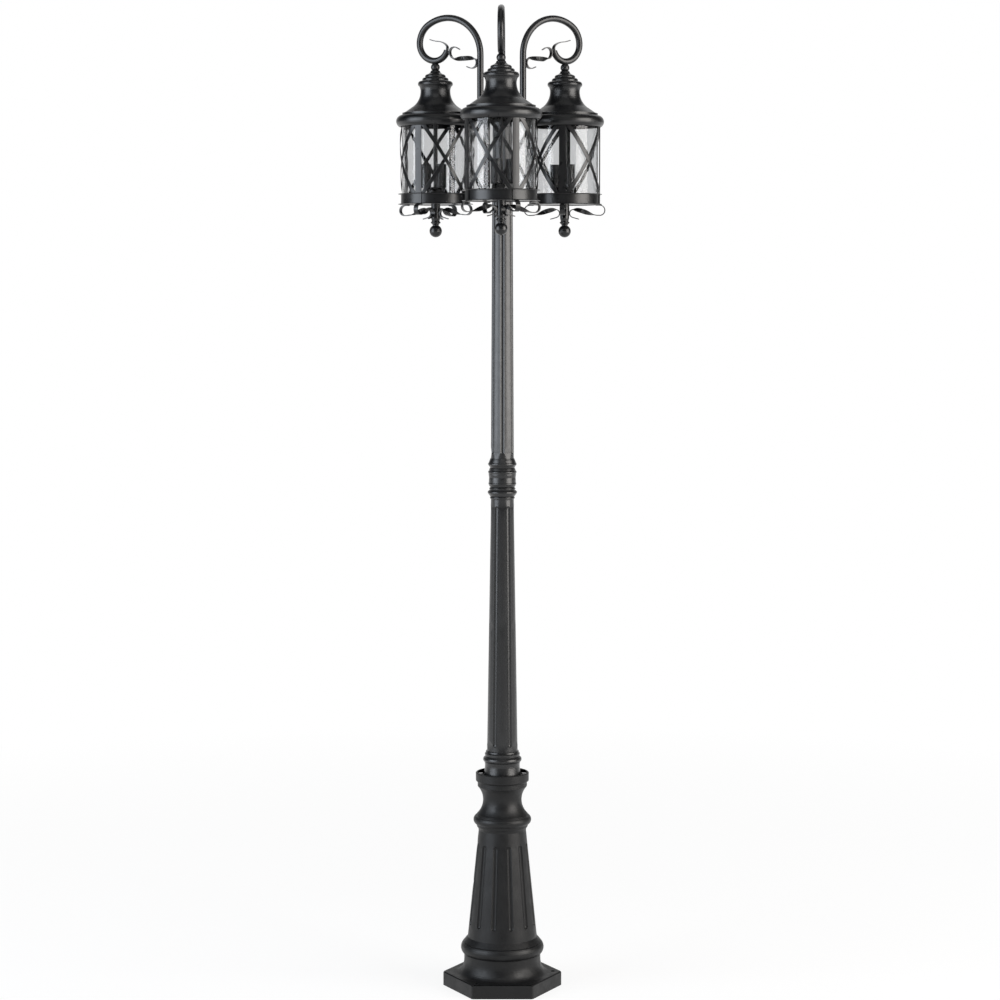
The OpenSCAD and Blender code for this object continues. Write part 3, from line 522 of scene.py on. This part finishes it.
class POSTLIGHT_OT_glass(Operator):
    """Makes the rippled glass cylinders"""

    bl_idname = "postlight.glass"
    bl_label = "Lantern Glass"

    def execute(self, context):
        finish = clear_glass("rippled_clear_glass", context.scene.post_light_paint.glass_colour)
        model = self.pane(context.scene.post_light_sizes)
        for side in SIDES:
            pane = copy_to(model, f"glass_pane_{side}", middle(f"glass_{side}"), LANTERN_TURN[side])
            dress(pane, f"lantern_{side}", "clear_glass", finish, f"glass_{side}")
        bpy.data.objects.remove(model)
        return {"FINISHED"}

    def pane(self, sizes):
        """A rippled cylinder on the post's axis, at the height of the lanterns' glass."""
        low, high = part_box("glass_front")
        bpy.ops.mesh.primitive_cylinder_add(
            vertices=GLASS_SIDES, radius=(high[0] - low[0]) / 2 - sizes.ripple_depth,
            depth=high[2] - low[2], end_fill_type="NOTHING", location=(0, 0, (low[2] + high[2]) / 2),
        )
        pane = start_from("glass_pane")
        bpy.ops.object.mode_set(mode="EDIT")
        pick(pane, lambda a, b: abs(a.z - b.z) > sizes.glass_wall, "EDGE")
        bpy.ops.mesh.subdivide(number_cuts=GLASS_CUTS)
        bpy.ops.object.mode_set(mode="OBJECT")
        layer = pane.data.uv_layers.active
        for corner in layer.data:
            corner.uv.y *= WAVE_SQUASH
        waves = bpy.data.textures.new("glass_waves", "CLOUDS")
        waves.noise_scale = WAVE_WIDTH
        waves.noise_depth = 1
        ripple = pane.modifiers.new("ripple", "DISPLACE")
        ripple.texture = waves
        ripple.texture_coords = "UV"
        ripple.uv_layer = layer.name
        ripple.strength = 2 * sizes.ripple_depth
        ripple.mid_level = 0.5
        add_wall(pane, sizes.glass_wall)
        apply_all(pane, smooth_angle=60.0)
        return pane


class POSTLIGHT_OT_lamp_holders(Operator):
    """Finishes the clusters and puts a threaded shell in each lamp holder"""

    bl_idname = "postlight.lamp_holders"
    bl_label = "Lamp Holders"

    def execute(self, context):
        paint = context.scene.post_light_paint
        black = powder_coat("black_cluster_paint", tone(paint.lantern_colour, -0.3), roughness=0.4)
        sleeve = moulded_plastic("black_sleeve_plastic", paint.plastic_colour, roughness=0.42)
        white = glazed_porcelain("white_porcelain", paint.porcelain_colour)
        nickel = plated_steel("nickel_shell", paint.nickel_colour, roughness=0.28)
        model = self.screw_shell(context.scene.post_light_sizes.thread_turns)
        for side in SIDES:
            paint_nodes(black, [f"cluster_{side}"])
            paint_nodes(sleeve, [f"sleeves_{side}"])
            paint_nodes(white, [f"sockets_{side}"])
            for k, place in enumerate(holder_places(side)):
                shell = copy_to(model, f"screw_shell_{side}_{k + 1}", place)
                dress(shell, f"lantern_{side}", "bolt_steel", nickel)
        bpy.data.objects.remove(model)
        return {"FINISHED"}

    def screw_shell(self, turns):
        """A thin ribbed cup on the post's axis, at the height of the lamp holders."""
        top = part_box("sockets_front")[1][2] - SHELL_BELOW_RIM
        floor = top - SHELL_DEPTH + SHELL_FLOOR
        bpy.ops.mesh.primitive_circle_add(
            vertices=SHELL_SIDES, radius=SHELL_CREST, fill_type="NGON", location=(0, 0, floor)
        )
        shell = start_from("screw_shell")
        bpy.ops.object.mode_set(mode="EDIT")
        bpy.ops.mesh.select_all(action="SELECT")
        bpy.ops.mesh.inset(thickness=CONTACT_INSET, depth=0.0)
        bpy.ops.transform.translate(value=(0, 0, CONTACT_RISE))
        pick(shell, lambda p: math.hypot(p.x, p.y) > SHELL_CREST - CONTACT_INSET / 2)
        rise = SHELL_DEPTH / (2 * turns + 1)
        for i in range(2 * turns):
            bpy.ops.mesh.extrude_edges_move(TRANSFORM_OT_translate={"value": (0, 0, rise)})
            size = SHELL_ROOT / SHELL_CREST if i % 2 == 0 else SHELL_CREST / SHELL_ROOT
            bpy.ops.transform.resize(value=(size, size, 1), center_override=(0, 0, 0))
        bpy.ops.object.mode_set(mode="OBJECT")
        add_wall(shell, SHELL_WALL)
        apply_all(shell, smooth_angle=50.0)
        return shell


class POSTLIGHT_OT_studio(Operator):
    """Sets the floor, the lamps, the world and the camera"""

    bl_idname = "postlight.studio"
    bl_label = "Studio"

    def execute(self, context):
        studio = context.scene.post_light_studio
        self.floor()
        for name, box in SOFTBOXES.items():
            self.softbox(name, level=studio.light_level, **box)
        self.world(context.scene)
        self.camera(context.scene, studio)
        context.scene.view_settings.view_transform = "Standard"
        return {"FINISHED"}

    def camera(self, scene, studio):
        """The camera, where the photograph was taken from."""
        data = bpy.data.cameras.new("photo_camera")
        data.lens = studio.lens
        data.sensor_width = CAMERA_SENSOR
        data.clip_end = FLOOR_SIZE
        camera = bpy.data.objects.new("photo_camera", data)
        scene.collection.objects.link(camera)
        camera.location = (studio.camera_side, -studio.camera_distance, studio.camera_height)
        camera.rotation_euler = (math.pi / 2 - studio.camera_tilt, 0, 0)
        scene.camera = camera

    def floor(self):
        """A wide pale floor, white where it is seen, that keeps the object's shadow."""
        bpy.ops.mesh.primitive_plane_add(size=FLOOR_SIZE, location=(0, 0, -FLOOR_GAP))
        floor = start_from("studio_floor")
        finish = Finish("pale_floor")
        cloud = finish.ramp(finish.noise(scale=0.8), span=(0.3, 0.7))
        finish.surface(Base_Color=finish.mix(cloud, tone(WHITE, -0.14), tone(WHITE, -0.1)), Roughness=0.85)
        path = finish.node("ShaderNodeLightPath").outputs
        seen = path["Is Camera Ray"]
        for ray in ("Is Glossy Ray", "Is Transmission Ray"):
            seen = finish.maths("MAXIMUM", seen, path[ray])
        reach = finish.node("ShaderNodeVectorMath", {"operation": "LENGTH"}, in0=finish.place)
        white = finish.ramp(reach.outputs["Value"], SHADOW_FADE, SHADOW_WHITE)
        share = finish.maths("MULTIPLY", seen, white)
        glow = finish.node("ShaderNodeEmission", Color=WHITE, Strength=1.0)
        both = finish.node(
            "ShaderNodeMixShader", in0=share, in1=finish.shader.outputs[0], in2=glow.outputs[0]
        )
        finish.feed(finish.tree.nodes["Material Output"], Surface=both.outputs[0])
        floor.data.materials.append(finish.material)

    def softbox(self, name, place, target, size, watts, colour, level):
        """An area lamp that points at its target."""
        lamp = bpy.data.lights.new(name, "AREA")
        lamp.shape = "RECTANGLE"
        lamp.size, lamp.size_y = size
        lamp.energy = watts * level
        lamp.color = colour
        box = bpy.data.objects.new(name, lamp)
        bpy.context.scene.collection.objects.link(box)
        box.location = place
        box.rotation_euler = (Vector(target) - Vector(place)).to_track_quat("-Z", "Y").to_euler()

    def world(self, scene):
        """White where it is seen, pale in gloss behind the object and dark elsewhere, and dim as light."""
        world = bpy.data.worlds.new("pale_world")
        world.use_nodes = True
        scene.world = world
        sky = Nodes(world.node_tree)
        path = sky.node("ShaderNodeLightPath").outputs
        place = sky.node("ShaderNodeTexCoord").outputs["Generated"]
        parts = sky.node("ShaderNodeSeparateXYZ", in0=place)
        strength = sky.choose(
            path["Is Glossy Ray"], WORLD_LIGHT, sky.ramp(parts.outputs["Y"], WORLD_BACK, WORLD_GLOSS)
        )
        for ray in ("Is Transmission Ray", "Is Camera Ray"):
            strength = sky.choose(path[ray], strength, 1.0)
        sky.feed(world.node_tree.nodes["Background"], Color=WHITE, Strength=strength)


class POSTLIGHT_PT_panel(Panel):
    """Lists the pieces of the post light"""

    bl_label = "Post Light"
    bl_idname = "POSTLIGHT_PT_panel"
    bl_space_type = "VIEW_3D"
    bl_region_type = "UI"
    bl_category = "Post Light"

    def draw(self, context):
        column = self.layout.column()
        for operator in OPERATORS:
            column.operator(operator.bl_idname)
        scene = context.scene
        for group in (scene.post_light_paint, scene.post_light_sizes, scene.post_light_studio):
            for name in group.__annotations__:
                column.prop(group, name)


OPERATORS = (
    POSTLIGHT_OT_studio,
    POSTLIGHT_OT_castings,
    POSTLIGHT_OT_shafts,
    POSTLIGHT_OT_head,
    POSTLIGHT_OT_lantern_metal,
    POSTLIGHT_OT_glass,
    POSTLIGHT_OT_lamp_holders,
)
CLASSES = (PostLightPaint, PostLightSizes, PostLightStudio, *OPERATORS, POSTLIGHT_PT_panel)


def register():
    for cls in CLASSES:
        bpy.utils.register_class(cls)
    bpy.types.Scene.post_light_paint = PointerProperty(type=PostLightPaint)
    bpy.types.Scene.post_light_sizes = PointerProperty(type=PostLightSizes)
    bpy.types.Scene.post_light_studio = PointerProperty(type=PostLightStudio)


def unregister():
    del bpy.types.Scene.post_light_studio
    del bpy.types.Scene.post_light_sizes
    del bpy.types.Scene.post_light_paint
    for cls in reversed(CLASSES):
        bpy.utils.unregister_class(cls)


def main():
    register()
    bpy.ops.postlight.studio()
    bpy.ops.postlight.castings()
    bpy.ops.postlight.shafts()
    bpy.ops.postlight.head()
    bpy.ops.postlight.lantern_metal()
    bpy.ops.postlight.glass()
    bpy.ops.postlight.lamp_holders()


if __name__ == "__main__":
    main()
